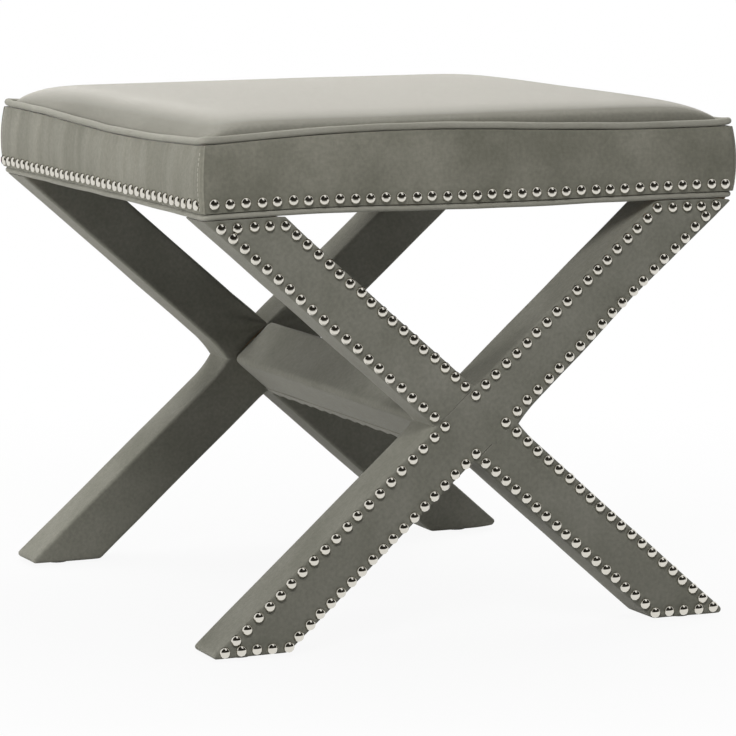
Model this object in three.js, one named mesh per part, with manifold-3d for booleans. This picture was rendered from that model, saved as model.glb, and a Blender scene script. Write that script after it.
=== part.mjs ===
// Upholstered vanity stool on two crossed leg frames.
// Millimetres, +Z up. The origin is on the floor under the middle of the seat, and the front faces -Y.

import * as THREE from "three";
import { mergeVertices } from "three/addons/utils/BufferGeometryUtils.js";
import Module from "manifold-3d";

const wasm = await Module();
wasm.setup();

// Driving dimensions of the stool
const seatWidth = 523;
const seatDepth = 551;
const seatEdgeHeight = 395;
const boxingHeight = 60;
const crownRise = 21;
const legSection = 51;
const legReveal = 0.5;
const glideHeight = 3;

// Shared fits and cutting allowances
const clearance = 0.3;
const overrun = 10;

// Upholstery
const coverThickness = 2.2;
const arrisRadius = 3;
const toeRadius = 4.5;
const heelRadius = 4.5;
const boxingThickness = 5;
const boxingBulge = 4;
const boxingCornerRadius = 5;
const innerCornerRadius = 0.5;
const topWeltDiameter = 6.5;
const topWeltProud = 1.5;
const bottomWeltDiameter = 5.6;
const bottomWeltProud = 0.8;
const weltTapeWidth = 12;
const weltTapeThickness = 1.5;
const dustCoverThickness = 0.8;
const legNotchMargin = 2;

// Shape of the crown: how square it is in plan, and how steeply its rim rises
const crownSquarenessShare = 14;
const crownRimShare = 0.55;
const crownSteps = 16;

// How much of a welt's diameter its rounding takes on each side, and of the boxing's height its bulge
const weltRoundShare = 0.4;
const boxingBulgeShare = 0.4;

// Seat frame
const railThickness = 20;
const railHeight = 40;
const deckThickness = 12;
const cornerBlockLeg = 75;
const cornerBlockTip = 12;
const cornerBlockThickness = 20;

// Hardware that holds the base to the seat
const hangerDiameter = 8;
const hangerDepthInLeg = 28;
const hangerEnd = 3;
const hangerFromSeatFace = 37;
const washerDiameter = 20;
const washerThickness = 1.6;
const nutAcrossFlats = 13;
const nutHeight = 6.5;

// Hardware that holds the stretcher to the leg frames
const stretcherBoltDiameter = 8;
const stretcherBoltLength = 90;
const boltHeadHeight = 5.5;
const headRecessDiameter = 22;
const headRecessDepth = 10;
const dowelDiameter = 8;
const dowelLength = 36;
const dowelSpacing = 36;

// Glides
const glideDiameter = 22;
const glideChamfer = 0.8;
const glideNailDiameter = 2.4;
const glideNailLength = 14;

// Counts of facets on round pieces
const arcSteps = 4;
const bevelSteps = 2;
const roundSides = 16;
const bulgeSteps = 3;

// Places that follow from the sizes above
const halfWidth = seatWidth / 2;
const halfDepth = seatDepth / 2;
const boardInset = coverThickness + clearance;
const legBottom = glideHeight + clearance;
const legTop = seatEdgeHeight - clearance;
const crossingHeight = (legBottom + legTop) / 2;
const legRise = (legTop - legBottom) / 2;
const legLean = leanThatReaches(halfWidth - legReveal, legRise, legSection);
const legStretch = Math.hypot(1, legLean);
const legReach = legRise * legLean;
const frameMiddle = halfDepth - legSection / 2;
const stretcherHalf = halfDepth - legSection - clearance;

const tapeLow = seatEdgeHeight;
const railLow = tapeLow + weltTapeThickness + clearance;
const deckLow = railLow + railHeight + clearance;
const foamLow = deckLow + deckThickness + clearance;
const boxingLow = seatEdgeHeight + bottomWeltDiameter + clearance;
const topWeltLow = boxingLow + boxingHeight + clearance;
const panelEdge = topWeltLow + topWeltDiameter / 2;
const railOuterInset = boxingThickness + clearance;
const topWeltInnerInset = topWeltDiameter - topWeltProud;
const panelInset = topWeltInnerInset + clearance;
const foamInset = panelInset + coverThickness + clearance;
const tapeInnerInset = bottomWeltDiameter - bottomWeltProud + weltTapeWidth;

// Lean of a leg, in width per height, whose outer arris ends at a place across the stool
function leanThatReaches(reach, rise, section) {
  const half = section / 2;
  const a = rise * rise - half * half;
  const b = reach * rise;
  const c = reach * reach - half * half;
  return (b - Math.sqrt(b * b - a * c)) / a;
}

// A closed geometry as a solid that can be cut
function solidOf(geometry) {
  const bare = geometry.index ? geometry.toNonIndexed() : geometry.clone();
  bare.deleteAttribute("normal");
  bare.deleteAttribute("uv");
  const merged = mergeVertices(bare);
  return new wasm.Manifold(new wasm.Mesh({
    numProp: 3,
    vertProperties: merged.attributes.position.array,
    triVerts: merged.index.array,
  }));
}

// A cut solid back as a geometry with flat facets
function geometryOf(solid) {
  const mesh = solid.getMesh();
  const geometry = new THREE.BufferGeometry();
  geometry.setAttribute("position", new THREE.BufferAttribute(mesh.vertProperties, mesh.numProp));
  geometry.setIndex(new THREE.BufferAttribute(mesh.triVerts, 1));
  const flat = geometry.toNonIndexed();
  flat.computeVertexNormals();
  return flat;
}

// Outline through points that run anticlockwise, each corner rounded by its own radius
function easedShape(points, radii) {
  const shape = new THREE.Shape();
  points.forEach((corner, i) => {
    const before = points[(i + points.length - 1) % points.length];
    const after = points[(i + 1) % points.length];
    const back = before.clone().sub(corner).normalize();
    const on = after.clone().sub(corner).normalize();
    const halfAngle = Math.acos(back.dot(on)) / 2;
    const inward = back.clone().add(on).normalize();
    const centre = corner.clone().addScaledVector(inward, radii[i] / Math.sin(halfAngle));
    const start = corner.clone().addScaledVector(back, radii[i] / Math.tan(halfAngle));
    if (i === 0) {
      shape.moveTo(start.x, start.y);
    } else {
      shape.lineTo(start.x, start.y);
    }
    if (radii[i] > 0) {
      const from = start.sub(centre).angle();
      shape.absarc(centre.x, centre.y, radii[i], from, from + Math.PI - 2 * halfAngle, false);
    }
  });
  return shape;
}

// Upright prism over an outline in plan
function prism(shape, low, high) {
  const geometry = new THREE.ExtrudeGeometry(shape, {
    depth: high - low, bevelEnabled: false, curveSegments: arcSteps,
  });
  return solidOf(geometry.translate(0, 0, low));
}

// Slab with an outline in X and Z, between two places along Y, its arrises rounded
function slab(shape, from, to, radius) {
  const geometry = new THREE.ExtrudeGeometry(shape, {
    depth: to - from - 2 * radius,
    bevelEnabled: radius > 0,
    bevelThickness: radius,
    bevelSize: radius,
    bevelOffset: -radius,
    bevelSegments: bevelSteps,
    curveSegments: arcSteps,
  });
  return solidOf(geometry.rotateX(Math.PI / 2).translate(0, to - radius, 0));
}

// Box between two corners
function block(low, high) {
  const size = high.clone().sub(low);
  const middle = low.clone().add(high).multiplyScalar(1 / 2);
  return solidOf(new THREE.BoxGeometry(size.x, size.y, size.z).translate(middle.x, middle.y, middle.z));
}

// Round bar along Z from a low to a high place
function upright(diameter, low, high) {
  const bar = new THREE.CylinderGeometry(diameter / 2, diameter / 2, high - low, roundSides);
  return bar.rotateX(Math.PI / 2).translate(0, 0, (low + high) / 2);
}

// Round bar along Y between two places, at a place across and up
function level(diameter, from, to, across, up) {
  const bar = new THREE.CylinderGeometry(diameter / 2, diameter / 2, to - from, roundSides);
  return solidOf(bar.translate(across, (from + to) / 2, up));
}

function rectangle(halfX, halfY) {
  return [
    new THREE.Vector2(-halfX, -halfY), new THREE.Vector2(halfX, -halfY),
    new THREE.Vector2(halfX, halfY), new THREE.Vector2(-halfX, halfY),
  ];
}

// Rectangle in plan with eased corners, inset from the seat's outline
function seatOutline(inset, radius) {
  const corners = rectangle(halfWidth - inset, halfDepth - inset);
  return easedShape(corners, corners.map(() => radius));
}

// Colours and finishes
const fabric = { color: 0x8b887b, roughness: 0.85, metalness: 0 };
const topFabric = { color: 0x9c988b, roughness: 0.82, metalness: 0 };
const dustCloth = { color: 0x1d1d1d, roughness: 0.95, metalness: 0 };
const foamFinish = { color: 0xe6dcc0, roughness: 0.95, metalness: 0 };
const softwood = { color: 0xc9a878, roughness: 0.75, metalness: 0 };
const plywood = { color: 0xbf9a68, roughness: 0.8, metalness: 0 };
const zincSteel = { color: 0xb4b6b8, roughness: 0.4, metalness: 1 };
const blackPlastic = { color: 0x202020, roughness: 0.55, metalness: 0 };

const stool = new THREE.Group();
const base = new THREE.Group();
const seat = new THREE.Group();
stool.add(base, seat);

function place(group, name, shape, finish) {
  const geometry = shape.isBufferGeometry ? shape : geometryOf(shape);
  const mesh = new THREE.Mesh(geometry, new THREE.MeshStandardMaterial(finish));
  mesh.name = name;
  group.add(mesh);
  return mesh;
}

const ends = { front: -1, back: 1 };
const sides = { left: -1, right: 1 };
const leans = { rising: 1, falling: -1 };

// Leg bars: a bar leans +1 when its top is on the right, and -1 when its top is on the left

// A bar's slanted outline between two heights, inset square to its sides
function barOutline(lean, inset, low, high) {
  const half = (legSection / 2 - inset) * legStretch;
  const at = (height, side) => new THREE.Vector2(
    lean * (height - crossingHeight) * legLean + side * half, height,
  );
  const toe = Math.max(toeRadius - inset, 0);
  const heel = Math.max(heelRadius - inset, 0);
  const left = lean > 0 ? toe : heel;
  const right = lean > 0 ? heel : toe;
  return easedShape([at(low, -1), at(low, 1), at(high, 1), at(high, -1)], [left, right, 0, 0]);
}

// Everything above a height, to cut the bars' tops level
function spaceAbove(height) {
  return block(
    new THREE.Vector3(-seatWidth, -seatDepth, height),
    new THREE.Vector3(seatWidth, seatDepth, height + seatEdgeHeight),
  );
}

// The covered bar, rounded on its arrises and cut level at the top
function coveredBar(lean, middle, allowance) {
  const shape = barOutline(lean, -allowance, legBottom - allowance, legTop + overrun + legSection);
  const half = legSection / 2 + allowance;
  const bar = slab(shape, middle - half, middle + half, arrisRadius + allowance);
  return bar.subtract(spaceAbove(legTop));
}

// The room inside a cover, open at the top
function coverRoom(lean, middle) {
  const half = legSection / 2 - coverThickness;
  const shape = barOutline(lean, coverThickness, legBottom + coverThickness, legTop + overrun);
  return slab(shape, middle - half, middle + half, 0);
}

function legBoard(lean, middle, allowance = 0) {
  const half = legSection / 2 - boardInset + allowance;
  const shape = barOutline(lean, boardInset - allowance, legBottom + boardInset - allowance, legTop);
  return slab(shape, middle - half, middle + half, 0);
}

// Holes across a leg frame for its stretcher bolt and dowels, with the recess for the bolt's head
function stretcherBores(outward) {
  const boardFace = outward * (halfDepth - boardInset);
  const recessFloor = boardFace - outward * headRecessDepth;
  const boltTip = recessFloor - outward * (stretcherBoltLength + clearance);
  const dowelMiddle = outward * stretcherHalf;
  const dowelReach = dowelLength / 2 + clearance;
  const bore = (diameter, a, b, across) => (
    level(diameter, Math.min(a, b), Math.max(a, b), across, crossingHeight)
  );
  return {
    recessFloor,
    dowelMiddle,
    recess: bore(headRecessDiameter, recessFloor, boardFace + outward * clearance, 0),
    bolt: bore(stretcherBoltDiameter + 2 * clearance, recessFloor + outward * clearance, boltTip, 0),
    dowels: [-1, 1].map((side) => bore(
      dowelDiameter + 2 * clearance,
      dowelMiddle - dowelReach,
      dowelMiddle + dowelReach,
      side * dowelSpacing / 2,
    )),
  };
}

function cutAll(solid, cuts) {
  return cuts.reduce((kept, cut) => kept.subtract(cut), solid);
}

// Everything on the upper left of the rising bar's middle line
function spaceUpperLeft() {
  const low = -overrun;
  const high = legTop + overrun;
  const across = (height) => (height - crossingHeight) * legLean;
  const outline = new THREE.Shape([
    new THREE.Vector2(across(low), low), new THREE.Vector2(across(high), high),
    new THREE.Vector2(-seatWidth, high), new THREE.Vector2(-seatWidth, low),
  ]);
  return slab(outline, -seatDepth, seatDepth, 0);
}

// Half of the room at the crossing, which the other board fills
function lapRoom(lean, outward, middle) {
  const keepsOutward = lean > 0;
  const removed = keepsOutward ? -outward : outward;
  const near = middle - removed * clearance / 2;
  const far = middle + removed * legSection;
  const half = block(
    new THREE.Vector3(-seatWidth, Math.min(near, far), 0),
    new THREE.Vector3(seatWidth, Math.max(near, far), legTop),
  );
  return legBoard(-lean, middle, clearance).intersect(half);
}

const hangerAcross = legReach - hangerDepthInLeg * legLean / 2;
const hangerAlong = halfDepth - hangerFromSeatFace;

// Two half-lapped boards, the rising one whole on the outward face
function buildBoards(end, outward) {
  const middle = outward * frameMiddle;
  const bores = stretcherBores(outward);
  for (const [name, lean] of Object.entries(leans)) {
    const hangerBore = upright(
      hangerDiameter + 2 * clearance, legTop - hangerDepthInLeg - clearance, legTop + overrun,
    ).translate(lean * hangerAcross, outward * hangerAlong, 0);
    const board = cutAll(legBoard(lean, middle), [
      lapRoom(lean, outward, middle),
      solidOf(hangerBore),
      bores.recess,
      bores.bolt,
      ...bores.dowels,
      ...glideNailBores(middle),
    ]);
    place(base, `leg_board_${end}_${name}`, board, softwood);
  }
}

// The rising bar's cover runs through the crossing and is open where the other board passes.
// The falling bar's cover is two lengths that butt against it.
function buildCovers(end, outward) {
  const middle = outward * frameMiddle;
  const bores = stretcherBores(outward);
  const nailBores = glideNailBores(middle);
  const through = cutAll(coveredBar(leans.rising, middle, 0), [
    coverRoom(leans.rising, middle),
    coverRoom(leans.falling, middle),
    bores.bolt,
    ...bores.dowels,
    ...nailBores,
  ]);
  place(base, `leg_cover_${end}_rising`, through, fabric);
  const pair = cutAll(coveredBar(leans.falling, middle, 0), [
    coverRoom(leans.falling, middle),
    coveredBar(leans.rising, middle, clearance),
    ...nailBores,
  ]);
  const upperLeft = spaceUpperLeft();
  place(base, `leg_cover_${end}_falling_upper`, pair.intersect(upperLeft), fabric);
  place(base, `leg_cover_${end}_falling_lower`, pair.subtract(upperLeft), fabric);
}

// Bolt, washer and dowels that hold the stretcher's end
function buildStretcherHardware(end, outward) {
  const bores = stretcherBores(outward);
  const fixing = new THREE.Group();
  fixing.position.set(0, bores.recessFloor, crossingHeight);
  fixing.rotation.x = -outward * Math.PI / 2;
  base.add(fixing);
  const washerLow = clearance;
  const headLow = washerLow + washerThickness + clearance;
  const washer = place(fixing, `stretcher_washer_${end}`, washerRing(), zincSteel);
  washer.position.z = washerLow;
  const shank = solidOf(upright(stretcherBoltDiameter, -stretcherBoltLength, headLow + boltHeadHeight / 2));
  const head = prism(hexagon(nutAcrossFlats), headLow, headLow + boltHeadHeight);
  place(fixing, `stretcher_bolt_${end}`, shank.add(head), zincSteel);
  for (const [word, side] of Object.entries(sides)) {
    const half = dowelLength / 2;
    const dowel = place(
      base, `stretcher_dowel_${end}_${word}`, upright(dowelDiameter, -half, half), softwood,
    );
    dowel.rotation.x = Math.PI / 2;
    dowel.position.set(side * dowelSpacing / 2, bores.dowelMiddle, crossingHeight);
  }
}

// The stretcher has the section of the crossing, so that its sides run on from the legs' sides
function crossingShape(inset, radius) {
  const half = (legSection / 2 - inset) * legStretch;
  const rise = half / legLean;
  const corners = [
    new THREE.Vector2(-half, crossingHeight), new THREE.Vector2(0, crossingHeight - rise),
    new THREE.Vector2(half, crossingHeight), new THREE.Vector2(0, crossingHeight + rise),
  ];
  return easedShape(corners, corners.map(() => radius));
}

function buildStretcher() {
  const bores = Object.values(ends).flatMap((outward) => {
    const { bolt, dowels } = stretcherBores(outward);
    return [bolt, ...dowels];
  });
  const core = slab(crossingShape(boardInset, 0), -stretcherHalf, stretcherHalf, 0);
  place(base, "stretcher_core", cutAll(core, bores), softwood);
  const outer = slab(crossingShape(0, arrisRadius), -stretcherHalf, stretcherHalf, 0);
  const room = slab(crossingShape(coverThickness, arrisRadius - coverThickness), -halfDepth, halfDepth, 0);
  place(base, "stretcher_cover", outer.subtract(room), fabric);
}

// Nail-on glides under the four feet
function glideNailBores(middle) {
  return [-1, 1].map((side) => solidOf(upright(
    glideNailDiameter + 2 * clearance, 0, glideHeight + glideNailLength + clearance,
  ).translate(side * legReach, middle, 0)));
}

function buildGlides() {
  const profile = [
    new THREE.Vector2(0, 0),
    new THREE.Vector2(glideDiameter / 2 - glideChamfer, 0),
    new THREE.Vector2(glideDiameter / 2, glideChamfer),
    new THREE.Vector2(glideDiameter / 2, glideHeight),
    new THREE.Vector2(glideNailDiameter / 2, glideHeight),
    new THREE.Vector2(glideNailDiameter / 2, glideHeight + glideNailLength),
    new THREE.Vector2(0, glideHeight + glideNailLength),
  ];
  for (const [end, outward] of Object.entries(ends)) {
    for (const [word, side] of Object.entries(sides)) {
      const turned = new THREE.LatheGeometry(profile, roundSides).rotateX(Math.PI / 2);
      const glide = place(base, `glide_${end}_${word}`, turned, blackPlastic);
      glide.position.set(side * legReach, outward * frameMiddle, 0);
    }
  }
}

function hexagon(acrossFlats) {
  const radius = acrossFlats / Math.sqrt(3);
  return new THREE.Shape(Array.from({ length: 6 }, (_, i) => new THREE.Vector2(
    radius * Math.cos(i * Math.PI / 3), radius * Math.sin(i * Math.PI / 3),
  )));
}

// Flat washer lying on the level of zero
function washerRing() {
  const hole = solidOf(upright(stretcherBoltDiameter + 2 * clearance, -overrun, overrun));
  return solidOf(upright(washerDiameter, 0, washerThickness)).subtract(hole);
}

// Hanger bolts run from the legs' tops through the seat's corner blocks
function buildHangers() {
  const washerLow = railLow + cornerBlockThickness + clearance;
  const nutLow = washerLow + washerThickness + clearance;
  const hangerTop = nutLow + nutHeight + hangerEnd;
  const nutBore = solidOf(upright(hangerDiameter + 2 * clearance, -overrun, nutHeight + overrun));
  for (const [end, outward] of Object.entries(ends)) {
    for (const [word, side] of Object.entries(sides)) {
      const corner = new THREE.Group();
      corner.position.set(side * hangerAcross, outward * hangerAlong, 0);
      base.add(corner);
      const bolt = upright(hangerDiameter, legTop - hangerDepthInLeg, hangerTop);
      place(corner, `hanger_bolt_${end}_${word}`, bolt, zincSteel);
      const washer = place(corner, `hanger_washer_${end}_${word}`, washerRing(), zincSteel);
      washer.position.z = washerLow;
      const nutShape = prism(hexagon(nutAcrossFlats), 0, nutHeight).subtract(nutBore);
      const nut = place(corner, `hanger_nut_${end}_${word}`, nutShape, zincSteel);
      nut.position.z = nutLow;
    }
  }
}

// Rails, corner blocks and deck of the seat
function buildSeatFrame() {
  const outerX = halfWidth - railOuterInset;
  const outerY = halfDepth - railOuterInset;
  const innerY = outerY - railThickness;
  const railTop = railLow + railHeight;
  for (const [end, outward] of Object.entries(ends)) {
    const from = outward > 0 ? innerY : -outerY;
    const rail = block(
      new THREE.Vector3(-outerX, from, railLow),
      new THREE.Vector3(outerX, from + railThickness, railTop),
    );
    place(seat, `seat_rail_${end}`, rail, softwood);
  }
  const sideEnd = innerY - clearance;
  for (const [word, side] of Object.entries(sides)) {
    const from = side > 0 ? outerX - railThickness : -outerX;
    const rail = block(
      new THREE.Vector3(from, -sideEnd, railLow),
      new THREE.Vector3(from + railThickness, sideEnd, railTop),
    );
    place(seat, `seat_rail_${word}`, rail, softwood);
  }
  const cornerX = outerX - railThickness - clearance;
  const cornerY = sideEnd;
  for (const [end, outward] of Object.entries(ends)) {
    for (const [word, side] of Object.entries(sides)) {
      const at = (alongX, alongY) => new THREE.Vector2(
        side * (cornerX - alongX), outward * (cornerY - alongY),
      );
      const outline = new THREE.Shape([
        at(0, 0), at(cornerBlockLeg, 0), at(cornerBlockLeg, cornerBlockTip),
        at(cornerBlockTip, cornerBlockLeg), at(0, cornerBlockLeg),
      ]);
      const bore = upright(hangerDiameter + 2 * clearance, railLow - overrun, railTop);
      bore.translate(side * hangerAcross, outward * hangerAlong, 0);
      const cornerBlock = prism(outline, railLow, railLow + cornerBlockThickness).subtract(solidOf(bore));
      place(seat, `corner_block_${end}_${word}`, cornerBlock, softwood);
    }
  }
  const deck = prism(seatOutline(railOuterInset, boxingCornerRadius), deckLow, deckLow + deckThickness);
  place(seat, "seat_deck", deck, plywood);
}

// Boxing: a bulged band round the seat, in four lengths mitred at the corners
function buildBoxing() {
  const bulgeRise = boxingHeight * boxingBulgeShare;
  const bulged = new THREE.ExtrudeGeometry(seatOutline(0, boxingCornerRadius), {
    depth: boxingHeight - 2 * bulgeRise,
    bevelThickness: bulgeRise,
    bevelSize: boxingBulge,
    bevelSegments: bulgeSteps,
    curveSegments: arcSteps,
  }).translate(0, 0, boxingLow + bulgeRise);
  const below = boxingLow - overrun;
  const above = boxingLow + boxingHeight + overrun;
  const room = prism(seatOutline(boxingThickness, innerCornerRadius), below, above);
  const band = solidOf(bulged).subtract(room);
  const lengths = {
    front: [halfWidth, halfDepth, 0], right: [halfDepth, halfWidth, 1],
    back: [halfWidth, halfDepth, 2], left: [halfDepth, halfWidth, 3],
  };
  for (const [name, [along, out, quarters]] of Object.entries(lengths)) {
    const outer = along + overrun - clearance;
    const inner = along - overrun - clearance;
    const corners = [
      new THREE.Vector2(-outer, -(out + overrun)), new THREE.Vector2(outer, -(out + overrun)),
      new THREE.Vector2(inner, -(out - overrun)), new THREE.Vector2(-inner, -(out - overrun)),
    ];
    corners.forEach((corner) => corner.rotateAround(new THREE.Vector2(), quarters * Math.PI / 2));
    const wedge = prism(new THREE.Shape(corners), below, above);
    place(seat, `boxing_${name}`, band.intersect(wedge), fabric);
  }
}

// Round cord laid round the seat, its outermost point standing proud of the seat's outline
function weltCord(diameter, proud, low) {
  const round = diameter * weltRoundShare;
  const ring = seatOutline(-proud, boxingCornerRadius + proud);
  ring.holes.push(seatOutline(diameter - proud, innerCornerRadius));
  const cord = new THREE.ExtrudeGeometry(ring, {
    depth: diameter - 2 * round,
    bevelThickness: round,
    bevelSize: round,
    bevelOffset: -round,
    bevelSegments: bevelSteps,
    curveSegments: arcSteps,
  });
  return solidOf(cord.translate(0, 0, low + round));
}

function buildWelts() {
  place(seat, "top_welt", weltCord(topWeltDiameter, topWeltProud, topWeltLow), fabric);
  const cordMiddle = bottomWeltDiameter / 2 - bottomWeltProud;
  const tape = seatOutline(cordMiddle, boxingCornerRadius);
  tape.holes.push(seatOutline(tapeInnerInset, innerCornerRadius));
  const cord = weltCord(bottomWeltDiameter, bottomWeltProud, seatEdgeHeight);
  const taped = cord.add(prism(tape, tapeLow, tapeLow + weltTapeThickness));
  place(seat, "bottom_welt", taped, fabric);
}

// Cloth stapled under the seat and cut round the legs' tops
function buildDustCover() {
  const top = tapeLow + weltTapeThickness;
  const outline = seatOutline(tapeInnerInset + clearance, innerCornerRadius);
  const cloth = prism(outline, top - dustCoverThickness, top);
  const innerX = legReach - legSection / 2 * legStretch - legNotchMargin;
  const innerY = halfDepth - legSection - legNotchMargin;
  const notches = [];
  for (const outward of Object.values(ends)) {
    for (const side of [-1, 1]) {
      const xs = [side * innerX, side * seatWidth].sort((a, b) => a - b);
      const ys = [outward * innerY, outward * seatDepth].sort((a, b) => a - b);
      notches.push(block(
        new THREE.Vector3(xs[0], ys[0], top - overrun), new THREE.Vector3(xs[1], ys[1], top + overrun),
      ));
    }
  }
  place(seat, "dust_cover", cutAll(cloth, notches), dustCloth);
}

// Pad with upright sides and a crowned top, its rows of facets closer together near the rim
function crownedPad(inset, low, edge) {
  const pad = new THREE.BoxGeometry(2, 2, 2, crownSteps, crownSteps, 1);
  const at = pad.attributes.position;
  const spread = (share) => Math.sin(share * Math.PI / 2);
  const fullness = (share) => (
    Math.max(1 - Math.abs(share) ** crownSquarenessShare, 0) ** crownRimShare
  );
  for (let i = 0; i < at.count; i += 1) {
    const u = spread(at.getX(i));
    const v = spread(at.getY(i));
    const top = edge + crownRise * fullness(u) * fullness(v);
    at.setXYZ(i, u * (halfWidth - inset), v * (halfDepth - inset), at.getZ(i) > 0 ? top : low);
  }
  const high = edge + crownRise + overrun;
  return solidOf(pad).intersect(prism(seatOutline(inset, boxingCornerRadius), low - overrun, high));
}

function buildCushion() {
  const skinDrop = coverThickness + clearance;
  place(seat, "seat_foam", crownedPad(foamInset, foamLow, panelEdge - skinDrop), foamFinish);
  const room = crownedPad(panelInset + coverThickness, topWeltLow - overrun, panelEdge - coverThickness);
  const panel = crownedPad(panelInset, topWeltLow, panelEdge).subtract(room);
  place(seat, "top_panel", panel, topFabric);
}

for (const [end, outward] of Object.entries(ends)) {
  buildBoards(end, outward);
  buildCovers(end, outward);
  buildStretcherHardware(end, outward);
}
buildStretcher();
buildGlides();
buildSeatFrame();
buildHangers();
buildBoxing();
buildWelts();
buildDustCover();
buildCushion();

export default stool;
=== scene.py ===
# Upholstered vanity stool: crowned, welted seat on two fabric covered crossed leg frames, trimmed with nail heads.
# Metres, +Z up, the front faces -Y.

import math
import random

import bmesh
import bpy
from mathutils import Matrix, Vector, kdtree, noise


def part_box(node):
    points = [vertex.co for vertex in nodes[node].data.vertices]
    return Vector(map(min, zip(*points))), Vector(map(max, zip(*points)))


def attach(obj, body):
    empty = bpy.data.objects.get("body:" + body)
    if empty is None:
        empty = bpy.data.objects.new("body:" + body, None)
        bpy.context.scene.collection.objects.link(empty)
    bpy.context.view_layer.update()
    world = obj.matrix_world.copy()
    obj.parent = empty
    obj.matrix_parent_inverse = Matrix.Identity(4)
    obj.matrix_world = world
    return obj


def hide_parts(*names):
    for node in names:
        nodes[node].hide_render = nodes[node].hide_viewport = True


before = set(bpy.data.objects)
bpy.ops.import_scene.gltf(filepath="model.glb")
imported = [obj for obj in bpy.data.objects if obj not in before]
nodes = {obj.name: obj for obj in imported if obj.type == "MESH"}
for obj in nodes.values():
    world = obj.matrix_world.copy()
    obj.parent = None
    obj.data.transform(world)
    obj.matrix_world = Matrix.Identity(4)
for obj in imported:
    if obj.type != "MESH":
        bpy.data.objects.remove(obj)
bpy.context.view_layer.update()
scene = bpy.context.scene
print("frame loaded")

# Places that the pieces share, read off the solids
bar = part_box("leg_cover_front_rising")
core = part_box("stretcher_core")
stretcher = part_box("stretcher_cover")
boxing = [corner.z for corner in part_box("boxing_front")]
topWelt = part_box("top_welt")
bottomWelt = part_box("bottom_welt")
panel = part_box("top_panel")
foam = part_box("seat_foam")
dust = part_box("dust_cover")

weltProud = 0.0015
half = (bar[1].y - bar[0].y) / 2
legBottom, legTop = bar[0].z, bar[1].z
crossing = (legBottom + legTop) / 2
lean = (core[1].x - core[0].x) / (core[1].z - core[0].z)
stretch = math.hypot(1, lean)
notchAside = half * stretch
notchUp = notchAside / lean
frameMiddle = -(bar[0].y + bar[1].y) / 2
halfWidth = topWelt[1].x - weltProud
halfDepth = topWelt[1].y - weltProud
ends = {"front": -1, "back": 1}
seatSides = {
    "front": (halfWidth, halfDepth, 0), "right": (halfDepth, halfWidth, 1),
    "back": (halfWidth, halfDepth, 2), "left": (halfDepth, halfWidth, 3),
}
axisX, axisY, axisZ = Vector((1, 0, 0)), Vector((0, 1, 0)), Vector((0, 0, 1))
diagonal = math.sqrt(0.5)
tiny = 1e-4
castFrom = 0.05  # how far outside the boxing a ray starts
sameWay = 0.99  # an edge whose direction has this cosine or more runs along

# The seams aren't quite straight: how far each one rises along a side, as one, two and three half waves
seamLines = {
    "top": {
        "front": (0.0055, 0.0028, -0.0003), "right": (0.002, -0.001, 0),
        "back": (-0.0015, 0.001, 0), "left": (-0.0044, -0.0017, 0.0002),
    },
    "bottom": {
        "front": (0.0008, 0.0009, 0.0008), "right": (0.0004, 0.0005, 0),
        "back": (0.0005, -0.0004, 0), "left": (0.0005, 0.0003, 0),
    },
}


def seamRise(line, x, y):
    u, v = x / halfWidth, y / halfDepth
    reach = max(abs(u), abs(v), tiny)
    if abs(v) >= abs(u):
        name, share = ("front" if v < 0 else "back"), u / reach
    else:
        name, share = ("left" if u < 0 else "right"), v / reach
    turn = math.pi * (share + 1) / 2
    return sum(size * math.sin(turn * (i + 1)) for i, size in enumerate(seamLines[line][name]))


def clamped(value):
    return min(1, max(0, value))


# Selecting and editing
def deselect():
    bpy.ops.object.select_all(action="DESELECT")


def alone(obj):
    deselect()
    obj.select_set(True)
    bpy.context.view_layer.objects.active = obj


def addShape(name, operator, **values):
    deselect()
    operator(**values)
    obj = bpy.context.object
    obj.name = name
    return obj


def settle(obj, **placing):
    # Places, turns or scales an object, and puts that into its mesh
    alone(obj)
    for key, value in placing.items():
        setattr(obj, key, value)
    bpy.ops.object.transform_apply(location=True, rotation=True, scale=True)


def edit(obj):
    alone(obj)
    bpy.ops.object.mode_set(mode="EDIT")
    bpy.ops.mesh.select_all(action="SELECT")


def done():
    bpy.ops.object.mode_set(mode="OBJECT")


def pick(obj, kind, test):
    bpy.ops.mesh.select_mode(type=kind)
    bpy.ops.mesh.select_all(action="DESELECT")
    mesh = bmesh.from_edit_mesh(obj.data)
    for part in {"EDGE": mesh.edges, "FACE": mesh.faces}[kind]:
        if test(part):
            part.select_set(True)
    bmesh.update_edit_mesh(obj.data)


def isAlong(edge, direction):
    run = (edge.verts[1].co - edge.verts[0].co).normalized()
    return abs(run.dot(direction)) > sameWay


def split(obj, cuts, direction, longer=0, across=False):
    # Cuts the edges that run along a direction, or all others, where they are longer than a length
    pick(obj, "EDGE", lambda edge: isAlong(edge, direction) != across and edge.calc_length() > longer)
    bpy.ops.mesh.subdivide(number_cuts=cuts)


def cutAway(place, outward):
    # Everything on the outward side of a plane goes, and the cut is closed
    bpy.ops.mesh.select_mode(type="FACE")
    bpy.ops.mesh.select_all(action="SELECT")
    bpy.ops.mesh.bisect(plane_co=place, plane_no=outward, clear_outer=True, use_fill=True)


def deleteFaces(obj, test):
    pick(obj, "FACE", test)
    bpy.ops.mesh.delete(type="FACE")


def addBlock(name, low, high):
    low, high = Vector(low), Vector(high)
    obj = addShape(name, bpy.ops.mesh.primitive_cube_add, size=1, location=(low + high) / 2)
    settle(obj, scale=high - low)
    return obj


def applyModifier(obj, kind, **values):
    alone(obj)
    modifier = obj.modifiers.new(kind.lower(), kind)
    for key, value in values.items():
        setattr(modifier, key, value)
    bpy.ops.object.modifier_apply(modifier=modifier.name)


def soften(obj):
    applyModifier(obj, "SUBSURF", levels=1, render_levels=1)


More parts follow.
